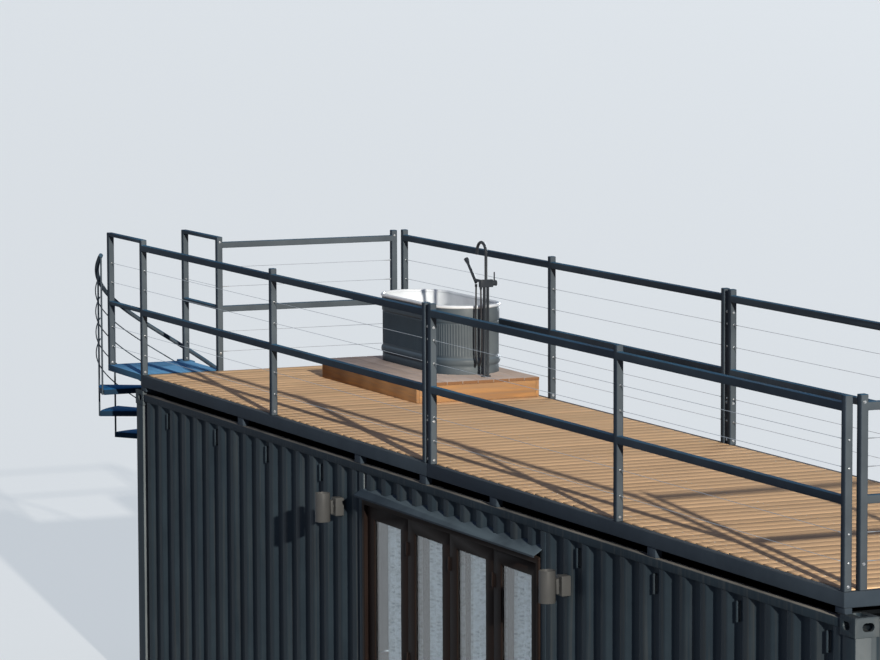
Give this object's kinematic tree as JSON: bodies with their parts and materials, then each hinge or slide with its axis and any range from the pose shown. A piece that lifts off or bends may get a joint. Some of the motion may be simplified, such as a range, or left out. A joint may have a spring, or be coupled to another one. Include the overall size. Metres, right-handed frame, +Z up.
{
  "type": "shipping container cabin",
  "caption": "Long corrugated steel container cabin with a folding glass front, a timber roof deck with cable railing and tub, and a spiral stair to a landing at one end.",
  "frame": {"origin": "middle of the whole footprint at ground level, the stair and the wall lamps included", "axes": "+X along the container away from the stair, +Z up, the glazed front faces -Y"},
  "size_m": [13.7247, 2.6388, 3.9729],
  "materials": {
    "container_paint": "satin",
    "stair_paint": "gloss",
    "floor_wood": "satin",
    "door_paint": "satin",
    "door_glazing": "gloss",
    "track_metal": "satin",
    "curtain_fabric": "matte",
    "deck_timber": "matte",
    "cable_steel": "satin",
    "plinth_timber": "matte",
    "tub_black": "satin",
    "tub_enamel": "gloss",
    "filler_black": "satin",
    "hose_black": "matte"
  },
  "bodies": {
    "root": {"base_frame": "container_paint", "floor_boards": "floor_wood", "corner_posts": "container_paint", "corner_castings": "container_paint", "top_rails": "container_paint", "roof_sheet": "container_paint", "front_wall_left": "container_paint", "front_wall_right": "container_paint", "front_wall_over_door": "container_paint", "back_wall": "container_paint", "end_walls": "container_paint", "lashing_bars": "container_paint", "door_posts": "container_paint", "door_frame": "door_paint", "door_leaf_1": "door_paint", "door_leaf_2": "door_paint", "door_leaf_3": "door_paint", "door_leaf_4": "door_paint", "door_glass": "door_glazing", "door_flashing": "container_paint", "curtain_track": "track_metal", "curtains": "curtain_fabric", "wall_lamps": "container_paint", "deck_stubs": "container_paint", "deck_frame": "container_paint", "deck_boards": "deck_timber", "front_rail_left": "container_paint", "front_rail_right": "container_paint", "back_rail_left": "container_paint", "back_rail_right": "container_paint", "end_rail_left": "container_paint", "end_rail_right": "container_paint", "rail_cables": "cable_steel", "landing": "stair_paint", "landing_guards": "container_paint", "stair_column": "container_paint", "stair_treads": "stair_paint", "stair_balusters": "container_paint", "stair_handrail": "container_paint", "stair_line_rails": "container_paint", "tub_plinth": "plinth_timber", "tub_shell": "tub_black", "tub_liner": "tub_enamel", "tub_filler": "filler_black", "filler_hose": "hose_black"}
  },
  "joints": []
}
